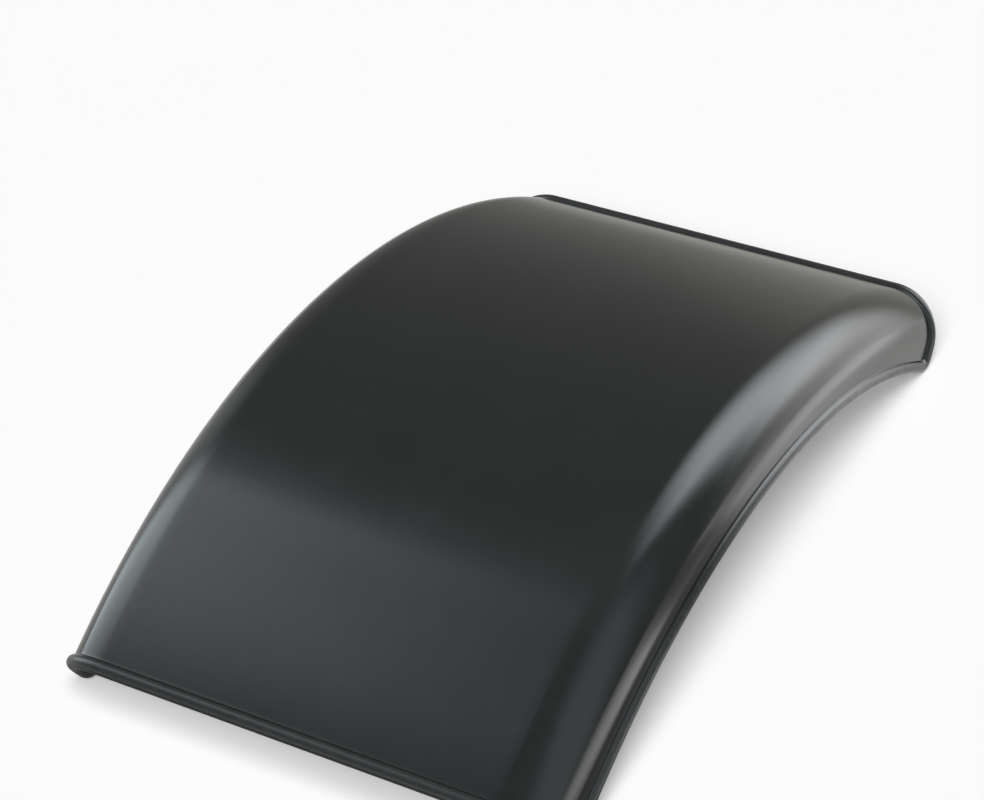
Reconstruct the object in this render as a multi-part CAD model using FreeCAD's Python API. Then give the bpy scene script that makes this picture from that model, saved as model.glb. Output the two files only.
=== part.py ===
"""Half mudguard: one moulded arc with a flat crown, rounded shoulders and short side walls,
and a round bead along its whole edge.

Millimetres. X runs along the arc's length, Y across its width and Z up. The guard lies
as an arch on its four lower corners, with the origin on that surface under its middle.
"""
import FreeCAD, Part
import math
import os

# Driving dimensions
GUARD_WIDTH = 450.0         # over the outer faces of the side walls
CROWN_RADIUS = 680.0        # outer face of the crown, from the wheel's axis
ARC_ANGLE = 68.6            # between the bead's centre lines at the two ends, in degrees
SHOULDER_RADIUS = 45.0      # outside, where the crown turns down into a side wall
WALL_HEIGHT = 20.0          # flat side wall, from the shoulder's foot to the bead's centre line
SKIN_THICKNESS = 4.0        # crown, shoulders and walls alike
BEAD_DIAMETER = 12.4        # round bead, centred on the skin
CORNER_RADIUS = 12.0        # of the bead's centre line at the four lower corners

Vector = FreeCAD.Vector
WIDTH_AXIS = Vector(0, 1, 0)
ENDS = (-1, 1)
SIDES = (-1, 1)

# Sizes that follow from the driving dimensions
half_angle = math.radians(ARC_ANGLE) / 2
half_skin = SKIN_THICKNESS / 2
bead_radius = BEAD_DIAMETER / 2
crown_half_width = GUARD_WIDTH / 2 - SHOULDER_RADIUS
shoulder_foot_radius = CROWN_RADIUS - SHOULDER_RADIUS
edge_radius = shoulder_foot_radius - WALL_HEIGHT

# Each lower corner is an arc that touches the end's radial line and the lower edge's circle
corner_centre_radius = edge_radius + CORNER_RADIUS
corner_turn = math.asin(CORNER_RADIUS / corner_centre_radius)
corner_centre_angle = half_angle - corner_turn
corner_head_radius = corner_centre_radius * math.cos(corner_turn)

# The guard stands on the underside of those corners, so the wheel's axis lies below the origin
corner_centre_height = corner_centre_radius * math.cos(corner_centre_angle)
axis_height = CORNER_RADIUS + bead_radius - corner_centre_height
axis_point = Vector(0, 0, axis_height)


def outward(angle):
    """Direction away from the wheel's axis, at an angle from the arc's top."""
    return Vector(math.sin(angle), 0, math.cos(angle))


def along_arc(angle):
    """Direction along the arc towards +X, at an angle from its top."""
    return Vector(math.cos(angle), 0, -math.sin(angle))


def on_arc(angle, radius, across):
    """Point at an angle from the arc's top, a radius from the wheel's axis and a place across."""
    return axis_point + outward(angle) * radius + WIDTH_AXIS * across


def line(start, end):
    return Part.LineSegment(start, end).toShape()


def bend(start, centre, end):
    """Arc from start to end, the short way round its centre."""
    bisector = (start - centre) + (end - centre)
    middle = centre + bisector.normalize() * (start - centre).Length
    return Part.Arc(start, middle, end).toShape()


def section_line(inset, foot_radius):
    """One face of the skin in the cross-section at the arc's top, set in from the outer face:
    up one wall, over its shoulder, across the crown and down the other side."""
    crown = CROWN_RADIUS - inset
    wall = GUARD_WIDTH / 2 - inset
    edges = [line(on_arc(0, crown, -crown_half_width), on_arc(0, crown, crown_half_width))]
    for side in SIDES:
        shoulder_top = on_arc(0, crown, side * crown_half_width)
        shoulder_centre = on_arc(0, shoulder_foot_radius, side * crown_half_width)
        shoulder_foot = on_arc(0, shoulder_foot_radius, side * wall)
        edges.append(bend(shoulder_top, shoulder_centre, shoulder_foot))
        edges.append(line(shoulder_foot, on_arc(0, foot_radius, side * wall)))
    return edges


def revolved_skin(spare):
    """The section turned about the wheel's axis, with its walls left long by the spare."""
    foot_radius = edge_radius - spare
    edges = section_line(0, foot_radius) + section_line(SKIN_THICKNESS, foot_radius)
    for side in SIDES:
        outer_foot = on_arc(0, foot_radius, side * GUARD_WIDTH / 2)
        inner_foot = on_arc(0, foot_radius, side * (GUARD_WIDTH / 2 - SKIN_THICKNESS))
        edges.append(line(outer_foot, inner_foot))
    section = Part.Face(Part.Wire(Part.__sortEdges__(edges)))
    section.rotate(axis_point, WIDTH_AXIS, -ARC_ANGLE / 2)
    return section.revolve(axis_point, WIDTH_AXIS, ARC_ANGLE)


def side_outline(spare):
    """Block with the guard's outline seen from the side: the lower edge's circle, the rounded
    lower corners and the radial ends. It reaches past the skin by the spare everywhere else."""
    across = -GUARD_WIDTH / 2 - spare
    top_radius = CROWN_RADIUS + spare
    feet = []
    tops = []
    edges = []
    for end in ENDS:
        centre = on_arc(end * corner_centre_angle, corner_centre_radius, across)
        foot = on_arc(end * corner_centre_angle, edge_radius, across)
        head = on_arc(end * half_angle, corner_head_radius, across)
        top = on_arc(end * half_angle, top_radius, across)
        edges.append(bend(foot, centre, head))
        edges.append(line(head, top))
        feet.append(foot)
        tops.append(top)
    centre = axis_point + WIDTH_AXIS * across
    edges.append(bend(feet[0], centre, feet[1]))
    edges.append(bend(tops[0], centre, tops[1]))
    outline = Part.Face(Part.Wire(Part.__sortEdges__(edges)))
    return outline.extrude(WIDTH_AXIS * (GUARD_WIDTH + 2 * spare))


def half_bead_path(end):
    """Half of the bead's centre line as moves: across the crown at one end, down the side it
    comes to, along that side's lower edge and up to the crown at the other end. A move is
    a straight step, or a turn given by its centre, axis and degrees."""
    side = -end
    wall = side * (GUARD_WIDTH / 2 - half_skin)
    angle = end * half_angle
    corner_degrees = end * (90 - math.degrees(corner_turn))
    shoulder_here = on_arc(angle, shoulder_foot_radius, side * crown_half_width)
    shoulder_there = on_arc(-angle, shoulder_foot_radius, side * crown_half_width)
    corner_here = on_arc(end * corner_centre_angle, corner_centre_radius, wall)
    corner_there = on_arc(-end * corner_centre_angle, corner_centre_radius, wall)
    wall_length = shoulder_foot_radius - corner_head_radius
    return [
        (WIDTH_AXIS * (side * 2 * crown_half_width),),
        (shoulder_here, along_arc(angle), -side * 90),
        (outward(angle) * -wall_length,),
        (corner_here, WIDTH_AXIS, corner_degrees),
        (axis_point, WIDTH_AXIS, -end * 2 * math.degrees(corner_centre_angle)),
        (corner_there, WIDTH_AXIS, corner_degrees),
        (outward(-angle) * wall_length,),
        (shoulder_there, along_arc(-angle), side * 90),
    ]


def closed_bead():
    """The bead as one closed round, its ring carried along the whole edge from the first crown
    end. The ring begins on the guard's outside, so each stretch meets the next one exactly."""
    start = on_arc(ENDS[0] * half_angle, CROWN_RADIUS - half_skin, -crown_half_width)
    crest = outward(ENDS[0] * half_angle) * bead_radius
    brow = along_arc(ENDS[0] * half_angle) * bead_radius
    ring = Part.Wire(Part.Circle(start + crest, start + brow, start - crest).toShape())
    surfaces = []
    for end in ENDS:
        for move in half_bead_path(end):
            if len(move) == 1:
                surfaces.extend(ring.extrude(*move).Faces)
                ring = ring.translated(*move)
            else:
                surfaces.extend(ring.revolve(*move).Faces)
                ring = ring.rotated(*move)
    shell = Part.Shell(surfaces)
    shell.sewShape()
    return Part.makeSolid(shell)


skin = revolved_skin(BEAD_DIAMETER).common(side_outline(BEAD_DIAMETER))
half_mudguard, = skin.fuse(closed_bead()).removeSplitter().Solids

os.makedirs("parts", exist_ok=True)
half_mudguard.exportStep("parts/half_mudguard.step")
print("half mudguard:", round(half_mudguard.Volume / 1000), "cubic cm,",
      "valid" if half_mudguard.isValid() else "not valid")
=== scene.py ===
"""Looks of the half mudguard: its moulded skin with the rolled bead, a white ground, the soft
boxes it reflects and the camera. Metres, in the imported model's own frame.
"""
import math

import bmesh
import bpy
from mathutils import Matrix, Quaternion, Vector


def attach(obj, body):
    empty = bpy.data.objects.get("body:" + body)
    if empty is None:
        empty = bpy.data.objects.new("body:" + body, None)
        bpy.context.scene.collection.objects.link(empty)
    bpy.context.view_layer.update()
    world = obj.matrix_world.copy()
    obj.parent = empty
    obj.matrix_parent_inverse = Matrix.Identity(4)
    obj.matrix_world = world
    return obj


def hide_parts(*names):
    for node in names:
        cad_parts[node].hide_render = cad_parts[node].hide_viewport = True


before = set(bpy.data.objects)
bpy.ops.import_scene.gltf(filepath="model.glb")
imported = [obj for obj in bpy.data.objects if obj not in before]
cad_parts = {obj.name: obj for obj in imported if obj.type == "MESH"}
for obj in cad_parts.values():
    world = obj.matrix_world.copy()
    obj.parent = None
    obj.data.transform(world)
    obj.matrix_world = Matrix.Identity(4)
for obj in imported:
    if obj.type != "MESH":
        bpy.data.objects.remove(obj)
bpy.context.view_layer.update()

# Sizes of the guard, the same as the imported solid's, and of the hollow that only this mesh has
GUARD_WIDTH = 0.450         # over the outer faces of the side walls
CROWN_RADIUS = 0.680        # outer face of the crown, from the wheel's axis
ARC_ANGLE = 68.6            # between the bead's centre lines at the two ends, in degrees
SHOULDER_RADIUS = 0.045     # outside, where the crown turns down into a side wall
WALL_HEIGHT = 0.020         # flat side wall, from the shoulder's foot to the bead's centre line
SKIN_THICKNESS = 0.004
BEAD_DIAMETER = 0.0124
CORNER_RADIUS = 0.012       # of the bead's centre line at the four lower corners
HOLLOW_RADIUS = 0.0009      # where the skin turns up into the bead
ENDS = (-1, 1)
SIDES = (-1, 1)

# How finely the skin is divided, and how close the points are that its patches share
CROWN_STEPS = 48
SHOULDER_STEPS = 24
WALL_STEPS = 3
ARC_STEPS = 140
CORNER_STEPS = 12
BEAD_STEPS = 32
HOLLOW_STEPS = 6
FLAT_STEPS = 2
SHARED_DISTANCE = 2e-6

# Sizes that follow from those
half_angle = math.radians(ARC_ANGLE) / 2
half_skin = SKIN_THICKNESS / 2
bead_radius = BEAD_DIAMETER / 2
crown_half_width = GUARD_WIDTH / 2 - SHOULDER_RADIUS
shoulder_foot_radius = CROWN_RADIUS - SHOULDER_RADIUS
edge_radius = shoulder_foot_radius - WALL_HEIGHT
wall_across = GUARD_WIDTH / 2 - half_skin
corner_centre_radius = edge_radius + CORNER_RADIUS
corner_turn = math.asin(CORNER_RADIUS / corner_centre_radius)
corner_centre_angle = half_angle - corner_turn
axis_height = CORNER_RADIUS + bead_radius - corner_centre_radius * math.cos(corner_centre_angle)


def linear(hex_colour):
    """An sRGB hex colour as the linear RGBA that a node takes."""
    channels = [int(hex_colour[i:i + 2], 16) / 255 for i in (1, 3, 5)]
    return [c / 12.92 if c <= 0.04045 else ((c + 0.055) / 1.055) ** 2.4 for c in channels] + [1]


def steps(first, last, count):
    """Evenly spaced values from first to last, both included."""
    return [first + (last - first) * i / count for i in range(count + 1)]


def empty_tree(owner):
    """The node tree of a new material or world, with nothing in it."""
    owner.use_nodes = True
    owner.node_tree.nodes.clear()
    return owner.node_tree


def add_node(tree, kind, inputs=None, **settings):
    """A node with its settings, its sockets' values and the links into it."""
    node = tree.nodes.new(kind)
    for name, value in settings.items():
        setattr(node, name, value)
    for socket, value in (inputs or {}).items():
        if isinstance(value, bpy.types.NodeSocket):
            tree.links.new(value, node.inputs[socket])
        else:
            node.inputs[socket].default_value = value
    return node


def add_object(name, data):
    """A new object in the scene that holds a mesh, a lamp or a camera."""
    added = bpy.data.objects.new(name, data)
    bpy.context.scene.collection.objects.link(added)
    return added


# The guard's skin

def outward(angle):
    """Direction away from the wheel's axis, at an angle from the arc's top."""
    return Vector((math.sin(angle), 0, math.cos(angle)))


def along_arc(angle):
    """Direction along the arc towards +X, at an angle from its top."""
    return Vector((math.cos(angle), 0, -math.sin(angle)))


def on_arc(angle, radius, across):
    """Point at an angle from the arc's top, a radius from the wheel's axis and a place across."""
    return Vector((0, across, axis_height)) + outward(angle) * radius


def section():
    """The middle of the skin in a cross-section, from one side wall over the crown to the other:
    each place's radius and place across, and the skin's normal there in the same terms."""
    shoulder_mid_radius = SHOULDER_RADIUS - half_skin
    half = [(CROWN_RADIUS - half_skin, across, 1, 0)
            for across in steps(0, crown_half_width, CROWN_STEPS // 2)]
    for turn in steps(0, math.pi / 2, SHOULDER_STEPS)[1:]:
        normal_out, normal_across = math.cos(turn), math.sin(turn)
        half.append((shoulder_foot_radius + shoulder_mid_radius * normal_out,
                     crown_half_width + shoulder_mid_radius * normal_across,
                     normal_out, normal_across))
    half += [(radius, wall_across, 0, 1)
             for radius in steps(shoulder_foot_radius, corner_centre_radius, WALL_STEPS)[1:]]
    mirrored = [(radius, -across, normal_out, -normal_across)
                for radius, across, normal_out, normal_across in reversed(half[1:])]
    return mirrored + half


def edge_profile():
    """The skin's border and the bead cut across, from the outer face round to the inner one:
    each point's distance in from the bead's centre line, and out along the skin's normal."""
    hollow_out = half_skin + HOLLOW_RADIUS
    hollow_in = math.sqrt((bead_radius + HOLLOW_RADIUS) ** 2 - hollow_out ** 2)
    bead_start = math.atan2(hollow_out, hollow_in)
    half = [(inset, half_skin) for inset in steps(CORNER_RADIUS, hollow_in, FLAT_STEPS)]
    for turn in steps(-math.pi / 2, bead_start - math.pi, HOLLOW_STEPS)[1:]:
        half.append((hollow_in + HOLLOW_RADIUS * math.cos(turn),
                     hollow_out + HOLLOW_RADIUS * math.sin(turn)))
    for turn in steps(bead_start, math.pi, BEAD_STEPS // 2)[1:]:
        half.append((bead_radius * math.cos(turn), bead_radius * math.sin(turn)))
    return half + [(inset, -out) for inset, out in reversed(half[:-1])]


def face_patch(out):
    """One face of the skin inside its border, set out from the skin's middle."""
    rows = []
    for radius, across, normal_out, normal_across in section():
        face_radius = radius + out * normal_out
        reach = half_angle - math.asin(CORNER_RADIUS / face_radius)
        rows.append([on_arc(angle, face_radius, across + out * normal_across)
                     for angle in steps(-reach, reach, ARC_STEPS)])
    return rows


def end_patch(end):
    """The border and the bead along one end. Its rows follow the arc over the crown and the
    shoulders, and are straight on the walls, where they meet the corners."""
    rows = []
    angle = end * half_angle
    for radius, across, normal_out, normal_across in section():
        on_wall = radius < shoulder_foot_radius
        row = []
        for inset, out in edge_profile():
            along = CORNER_RADIUS if on_wall else inset
            height = math.sqrt((radius + out * normal_out) ** 2 - along ** 2)
            place = on_arc(angle, height, across + out * normal_across)
            row.append(place - along_arc(angle) * (end * inset))
        rows.append(row)
    return rows


def side_patch(side):
    """The border and the bead along one side's lower edge."""
    return [[on_arc(angle, edge_radius + inset, side * (wall_across + out))
             for inset, out in edge_profile()]
            for angle in steps(-corner_centre_angle, corner_centre_angle, ARC_STEPS)]


def corner_patch(end, side):
    """The border and the bead round one lower corner, as a fan about the corner's centre."""
    rows = []
    for turn in steps(0, math.pi / 2 - corner_turn, CORNER_STEPS):
        towards = along_arc(end * half_angle) * (end * math.cos(turn))
        towards -= outward(end * half_angle) * math.sin(turn)
        rows.append([on_arc(end * corner_centre_angle, corner_centre_radius, side * (wall_across + out))
                     + towards * (CORNER_RADIUS - inset)
                     for inset, out in edge_profile()])
    return rows


def bead_wear():
    """How much each point of the edge profile is rubbed: fully on the bead's crest and outside."""
    wear = []
    for inset, out in edge_profile():
        proud = (abs(out) - half_skin) / (bead_radius - half_skin)
        wear.append(min(1, max(proud, -inset / bead_radius, 0)))
    return wear


def closed_mesh(faces, borders, name):
    """One closed mesh from grids of points whose edges meet, with its bead marked as rubbed."""
    mesh = bmesh.new()
    rubbed = mesh.verts.layers.float.new("rubbed")
    patches = [(rows, [0] * len(rows[0])) for rows in faces]
    patches += [(rows, bead_wear()) for rows in borders]
    for rows, wear in patches:
        grid = [[mesh.verts.new(place) for place in row] for row in rows]
        for row in grid:
            for vertex, share in zip(row, wear):
                vertex[rubbed] = share
        for row, next_row in zip(grid, grid[1:]):
            for i in range(len(row) - 1):
                mesh.faces.new((row[i], row[i + 1], next_row[i + 1], next_row[i]))
    bmesh.ops.remove_doubles(mesh, verts=mesh.verts, dist=SHARED_DISTANCE)
    bmesh.ops.recalc_face_normals(mesh, faces=mesh.faces)
    for face in mesh.faces:
        face.smooth = True
    data = bpy.data.meshes.new(name)
    mesh.to_mesh(data)
    mesh.free()
    return add_object(name, data)


# Moulded black polyethylene

# A hot sheet formed over a polished mould: near black, with the satin gloss of a waxy plastic.
# The eye gets soft reflections with a faint ripple, slightly duller clouds from handling, and
# a greyer, duller bead, rolled without the mould and rubbed more in some patches than in others.
PLASTIC_COLOUR = "#1A1D1E"
PLASTIC_CLOUD_COLOUR = "#202324"
PLASTIC_RUBBED_COLOUR = "#2B2E2F"
PLASTIC_IOR = 1.51
PLASTIC_ROUGHNESS = (0.11, 0.17)    # clear of the clouds, and in them
RUBBED_ROUGHNESS = 0.42
CLOUD_SIZE = 0.060          # patches of handling
CLOUD_RANGE = (0.3, 0.7)    # of the clouds' noise, from clear to clouded
RUB_SIZE = 0.012            # patches of rubbing along the bead
RUB_RANGE = (0.4, 0.7)      # of the rubs' noise, from the least rubbed to the most
LEAST_RUB = 0.55            # share of the rubbed look that the bead has everywhere
RIPPLE_SIZE = 0.009         # orange peel left by the mould
RIPPLE_HEIGHT = 0.001
GRAIN_SIZE = 0.0012         # the sheet's grain, drawn about twice as coarse as it is so that it shows
GRAIN_HEIGHT = 0.0004
RELIEF_STRENGTH = 0.02      # share of those heights that is left in the satin face


def moulded_polyethylene():
    material = bpy.data.materials.new("moulded_black_polyethylene")
    tree = empty_tree(material)
    place = add_node(tree, "ShaderNodeTexCoord").outputs["Object"]
    clouds = add_node(tree, "ShaderNodeTexNoise", {
        "Vector": place, "Scale": 1 / CLOUD_SIZE, "Detail": 4, "Roughness": 0.6})
    rubs = add_node(tree, "ShaderNodeTexNoise", {
        "Vector": place, "Scale": 1 / RUB_SIZE, "Detail": 5, "Roughness": 0.7})
    ripple = add_node(tree, "ShaderNodeTexNoise", {
        "Vector": place, "Scale": 1 / RIPPLE_SIZE, "Detail": 1})
    grain = add_node(tree, "ShaderNodeTexNoise", {
        "Vector": place, "Scale": 1 / GRAIN_SIZE, "Detail": 2})
    on_bead = add_node(tree, "ShaderNodeAttribute", attribute_name="rubbed")
    patchy = add_node(tree, "ShaderNodeMapRange", {
        "Value": rubs.outputs["Fac"], "From Min": RUB_RANGE[0], "From Max": RUB_RANGE[1],
        "To Min": LEAST_RUB})
    rubbed = add_node(tree, "ShaderNodeMath", {
        0: on_bead.outputs["Fac"], 1: patchy.outputs["Result"]}, operation="MULTIPLY")
    cloudy = add_node(tree, "ShaderNodeMix", {
        "Factor": clouds.outputs["Fac"], "A": linear(PLASTIC_COLOUR), "B": linear(PLASTIC_CLOUD_COLOUR)},
        data_type="RGBA")
    colour = add_node(tree, "ShaderNodeMix", {
        "Factor": rubbed.outputs[0], "A": cloudy.outputs["Result"], "B": linear(PLASTIC_RUBBED_COLOUR)},
        data_type="RGBA")
    satin = add_node(tree, "ShaderNodeMapRange", {
        "Value": clouds.outputs["Fac"], "From Min": CLOUD_RANGE[0], "From Max": CLOUD_RANGE[1],
        "To Min": PLASTIC_ROUGHNESS[0], "To Max": PLASTIC_ROUGHNESS[1]})
    roughness = add_node(tree, "ShaderNodeMapRange", {
        "Value": rubbed.outputs[0], "To Min": satin.outputs["Result"], "To Max": RUBBED_ROUGHNESS})
    rippled = add_node(tree, "ShaderNodeBump", {
        "Height": ripple.outputs["Fac"], "Strength": RELIEF_STRENGTH, "Distance": RIPPLE_HEIGHT})
    grained = add_node(tree, "ShaderNodeBump", {
        "Height": grain.outputs["Fac"], "Strength": RELIEF_STRENGTH, "Distance": GRAIN_HEIGHT,
        "Normal": rippled.outputs["Normal"]})
    plastic = add_node(tree, "ShaderNodeBsdfPrincipled", {
        "Base Color": colour.outputs["Result"], "Roughness": roughness.outputs["Result"],
        "IOR": PLASTIC_IOR, "Normal": grained.outputs["Normal"]})
    add_node(tree, "ShaderNodeOutputMaterial", {"Surface": plastic.outputs["BSDF"]})
    return material


faces = [face_patch(half_skin), face_patch(-half_skin)]
borders = [end_patch(end) for end in ENDS]
borders += [side_patch(side) for side in SIDES]
borders += [corner_patch(end, side) for end in ENDS for side in SIDES]
guard = closed_mesh(faces, borders, "moulded_guard")
guard.data.materials.append(moulded_polyethylene())
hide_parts("half_mudguard")
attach(guard, "root")


# White ground

# The camera sees a white ground with the close shadows of two soft lamps. Part of its white is
# its own, so that the shadows stay as pale as the photo's.
GROUND_COLOUR = "#F8F8F8"
GROUND_GLOW = 0.27
GROUND_HALF_SIZE = 40.0
BACKGROUND_COLOUR = "#FCFCFC"

# The guard reflects a white card that ends behind its far end and in front of it, as the photo's
# reflections show. All reflected lights have white paper as 1.
# The card is no lamp but glows by itself: its light is a painted reflection, seen only in reflections.
CARD_LOW_CORNER = (-3.0, -0.78)
CARD_HIGH_CORNER = (0.50, 3.0)
CARD_LIGHT = (1.25, 1.25, 1.23)

# Parts of the card with another light, the later ones over the earlier: painted light in two brighter
# strips along the guard's side, painted shade behind the guard and beside its wall, and painted shadow
# in a leaning band and under the guard. The strips, the band and the wall are on the side that the
# camera sees. X and Y give each part's edges: where it is nothing and where it is full. Its edges lean
# by a length in X for each metre in Y, and in Y for each in X.
CARD_PARTS = {
    "painted_shade_behind_the_guard": {"Y": [(0.0, 0.2)], "light": (0.75, 0.75, 0.74)},
    "painted_light_near_strip": {"X": [(-0.6, -0.5), (-0.02, -0.10)], "Y": [(-0.56, -0.43), (-0.28, -0.34)],
                   "light": (2.05, 2.05, 2.03)},
    "painted_light_far_strip": {"X": [(0.05, 0.40)], "Y": [(-0.46, -0.37), (-0.265, -0.32)],
                  "light": (2.2, 2.2, 2.18)},
    "painted_shade_beside_the_wall": {"X": [(-0.6, -0.5)], "Y": [(-0.32, -0.26), (0.30, 0.15)],
                        "light": (0.88, 0.88, 0.86)},
    "painted_shadow_band": {"X": [(-0.28, -0.16), (-0.02, -0.10)], "Y": [(0.30, 0.15)], "lean": (0.45, 0),
                     "light": (0.42, 0.42, 0.40)},
    "painted_shadow_under_the_guard": {"X": [(-0.52, -0.43), (0.20, -0.10)], "Y": [(-0.315, -0.285), (0.30, 0.15)],
                        "lean": (0, 0.1), "light": (0.15, 0.15, 0.145)},
}


def faded(tree, edges):
    """A share that is full inside its edges: each gives a place, where it is nothing and where full."""
    share = None
    for place, nothing, full in edges:
        fade = add_node(tree, "ShaderNodeMapRange", {
            "Value": place, "From Min": nothing, "From Max": full},
            interpolation_type="SMOOTHSTEP").outputs["Result"]
        share = fade if share is None else add_node(
            tree, "ShaderNodeMath", {0: share, 1: fade}, operation="MULTIPLY").outputs[0]
    return share


def white_paint():
    material = bpy.data.materials.new("matt_white_paint")
    tree = empty_tree(material)
    paint = add_node(tree, "ShaderNodeBsdfDiffuse", {"Color": linear(GROUND_COLOUR)})
    is_camera = add_node(tree, "ShaderNodeLightPath").outputs["Is Camera Ray"]
    strength = add_node(tree, "ShaderNodeMath", {0: is_camera, 1: GROUND_GLOW}, operation="MULTIPLY")
    glow = add_node(tree, "ShaderNodeEmission", {"Strength": strength.outputs[0]})
    both = add_node(tree, "ShaderNodeAddShader", {0: paint.outputs["BSDF"], 1: glow.outputs["Emission"]})
    add_node(tree, "ShaderNodeOutputMaterial", {"Surface": both.outputs["Shader"]})
    return material


def glowing_painted_reflection_card():
    # The card's own glow, with painted light and painted shade laid over it: a painted reflection.
    material = bpy.data.materials.new("glowing_white_card_painted_reflection")
    tree = empty_tree(material)
    place = add_node(tree, "ShaderNodeTexCoord").outputs["Object"]
    split = add_node(tree, "ShaderNodeSeparateXYZ", {"Vector": place})
    light = (*CARD_LIGHT, 1)
    for part in CARD_PARTS.values():
        edges = []
        for axis, other, lean in zip("XY", "YX", part.get("lean", (0, 0))):
            leaning = add_node(tree, "ShaderNodeMath", {
                0: split.outputs[other], 1: lean, 2: split.outputs[axis]}, operation="MULTIPLY_ADD")
            edges += [(leaning.outputs[0], *edge) for edge in part.get(axis, [])]
        light = add_node(tree, "ShaderNodeMix", {
            "Factor": faded(tree, edges), "A": light, "B": (*part["light"], 1)},
            data_type="RGBA").outputs["Result"]
    card = add_node(tree, "ShaderNodeEmission", {"Color": light})
    add_node(tree, "ShaderNodeOutputMaterial", {"Surface": card.outputs["Emission"]})
    return material


def flat_sheet(name, low_corner, high_corner, material):
    """A sheet on the floor between two corners."""
    (left, front), (right, rear) = low_corner, high_corner
    mesh = bpy.data.meshes.new(name)
    mesh.from_pydata([(left, front, 0), (right, front, 0), (right, rear, 0), (left, rear, 0)],
                     [], [(0, 1, 2, 3)])
    mesh.materials.append(material)
    sheet = add_object(name, mesh)
    return sheet


ground = flat_sheet("ground", (-GROUND_HALF_SIZE,) * 2, (GROUND_HALF_SIZE,) * 2, white_paint())
ground.visible_glossy = False
card = flat_sheet("reflected_card", CARD_LOW_CORNER, CARD_HIGH_CORNER, glowing_painted_reflection_card())
card.visible_camera = card.visible_diffuse = card.visible_shadow = False


# Studio light

# Soft boxes and bright parts of the room, the later ones over the earlier, named as the camera
# sees them. Directions turn from the guard's -Y side, 0, by +X, 90, to its +Y side, 180. Each has
# the direction of its middle, where it begins and ends along that turn, in degrees from its middle,
# and its top and bottom, in degrees above the floor: where it is nothing and where it is full. One
# with no top or bottom has no limit there. Its end leans by an angle for each degree up.
SOFT_BOXES = {
    "rear_room": {"middle": 130, "begin": (-75, -40), "end": (100, 50), "light": (0.32, 0.32, 0.305)},
    "rear_ceiling": {"middle": 90, "begin": (-90, -60), "end": (95, 70), "bottom": (58, 67),
                     "light": (0.39, 0.395, 0.395)},
    "far_floor": {"middle": 115, "begin": (-20, -8), "end": (15, 5), "top": (-12, -22),
                  "bottom": (-80, -60), "light": (0.50, 0.495, 0.465)},
    "far_glow": {"middle": 105, "begin": (-40, -10), "end": (9, 3), "top": (40, 5),
                 "bottom": (-70, -40), "light": (0.48, 0.475, 0.44)},
    "front_fill": {"middle": 0, "begin": (-43, -6), "end": (27, 6), "lean": 0.12, "top": (89, 47),
                   "bottom": (-45, -21), "light": (0.76, 0.86, 0.88)},
    "right_floor": {"middle": 65, "begin": (-30, -5), "end": (27, 8), "lean": 0.5, "top": (20, 4),
                    "bottom": (-45, -30), "light": (1.85, 1.85, 1.83)},
    "right_box_foot": {"middle": 65, "begin": (-20, -4), "end": (20, -5), "top": (30, 10),
                       "bottom": (-12, 6), "light": (3.6, 3.6, 3.55)},
    "right_box": {"middle": 65, "begin": (-27, -5), "end": (28, -12), "lean": 0.45, "top": (77, 48.5),
                  "bottom": (-1, 13), "light": (4.6, 4.8, 4.95)},
    "left_glow": {"middle": 157, "begin": (-14, -4), "end": (20, 8), "top": (50, 25),
                  "bottom": (-60, -40), "light": (0.74, 0.76, 0.76)},
    "left_box_rim": {"middle": 160, "begin": (-12, 4), "end": (18, 5), "top": (80, 52),
                     "bottom": (40, 52), "light": (0.52, 0.55, 0.56)},
    "left_box": {"middle": 180, "begin": (-20.5, -11), "end": (27, -27), "lean": 0.46, "top": (71.5, 45),
                 "bottom": (-20, -9), "light": (3.5, 3.9, 4.05)},
}
ROOM_LIGHT = (0.24, 0.24, 0.23)

# The soft boxes show only as reflections. These lamps light the ground, one from the near end and
# one from higher up: the direction towards each, how many degrees wide it looks, and its strength.
LAMPS = {
    "near_lamp": {"towards": (-1.094, -0.257, 1.0), "width": 28, "strength": 1.74},
    "upper_lamp": {"towards": (-0.373, -0.287, 1.0), "width": 28, "strength": 1.28},
}


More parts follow.
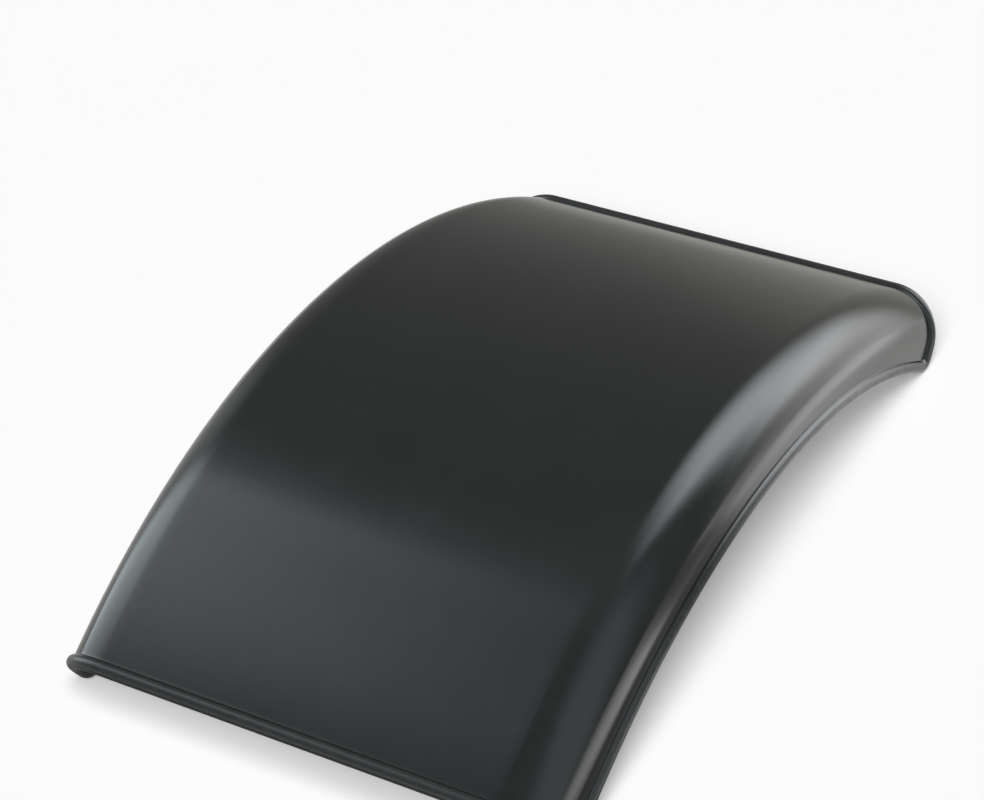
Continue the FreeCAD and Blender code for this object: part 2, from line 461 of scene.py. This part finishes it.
def studio_world():
    world = bpy.data.worlds.new("studio")
    tree = empty_tree(world)
    direction = add_node(tree, "ShaderNodeTexCoord").outputs["Generated"]
    height = add_node(tree, "ShaderNodeSeparateXYZ", {"Vector": direction}).outputs["Z"]
    elevation = add_node(tree, "ShaderNodeMath", {0: height}, operation="ARCSINE").outputs[0]
    light = (*ROOM_LIGHT, 1)
    for box in SOFT_BOXES.values():
        turned = add_node(tree, "ShaderNodeVectorRotate", {
            "Vector": direction, "Angle": math.radians(90 - box["middle"])}, rotation_type="Z_AXIS")
        split = add_node(tree, "ShaderNodeSeparateXYZ", {"Vector": turned.outputs["Vector"]})
        aside = add_node(tree, "ShaderNodeMath", {0: split.outputs["Y"], 1: split.outputs["X"]},
                         operation="ARCTAN2").outputs[0]
        leaning = add_node(tree, "ShaderNodeMath", {0: elevation, 1: -box.get("lean", 0), 2: aside},
                           operation="MULTIPLY_ADD").outputs[0]
        places = {"begin": aside, "end": leaning, "top": elevation, "bottom": elevation}
        shine = faded(tree, [(place, *(math.radians(angle) for angle in box[edge]))
                             for edge, place in places.items() if edge in box])
        light = add_node(tree, "ShaderNodeMix", {
            "Factor": shine, "A": light, "B": (*box["light"], 1)}, data_type="RGBA").outputs["Result"]
    lit = add_node(tree, "ShaderNodeBackground", {"Color": light})
    seen = add_node(tree, "ShaderNodeBackground", {"Color": linear(BACKGROUND_COLOUR)})
    is_camera = add_node(tree, "ShaderNodeLightPath").outputs["Is Camera Ray"]
    both = add_node(tree, "ShaderNodeMixShader", {
        0: is_camera, 1: lit.outputs["Background"], 2: seen.outputs["Background"]})
    add_node(tree, "ShaderNodeOutputWorld", {"Surface": both.outputs["Shader"]})
    return world


bpy.context.scene.world = studio_world()
bpy.context.scene.world.cycles_visibility.diffuse = False
for name, lamp in LAMPS.items():
    sun = bpy.data.lights.new(name, "SUN")
    sun.energy = lamp["strength"]
    sun.angle = math.radians(lamp["width"])
    placed = add_object(name, sun)
    placed.rotation_mode = "QUATERNION"
    placed.rotation_quaternion = Vector(lamp["towards"]).to_track_quat("Z", "Y")
    placed.visible_glossy = False
bpy.context.scene.view_settings.view_transform = "Standard"


# Camera

CAMERA_LENS = 104.514       # millimetres, on a sensor 36 mm wide
CAMERA_TARGET = Vector((-0.0461, 0.0044, 0.1517))
CAMERA_DISTANCE = 2.3767
CAMERA_AZIMUTH = math.radians(-58.62)
CAMERA_ELEVATION = math.radians(36.16)
CAMERA_ROLL = math.radians(-3.44)

lens = bpy.data.cameras.new("camera")
lens.lens = CAMERA_LENS
camera = add_object("camera", lens)
back = Vector((math.sin(CAMERA_AZIMUTH) * math.cos(CAMERA_ELEVATION),
               -math.cos(CAMERA_AZIMUTH) * math.cos(CAMERA_ELEVATION),
               math.sin(CAMERA_ELEVATION)))
camera.location = CAMERA_TARGET + back * CAMERA_DISTANCE
camera.rotation_mode = "QUATERNION"
camera.rotation_quaternion = (-back).to_track_quat("-Z", "Y") @ Quaternion((0, 0, 1), CAMERA_ROLL)
bpy.context.scene.camera = camera
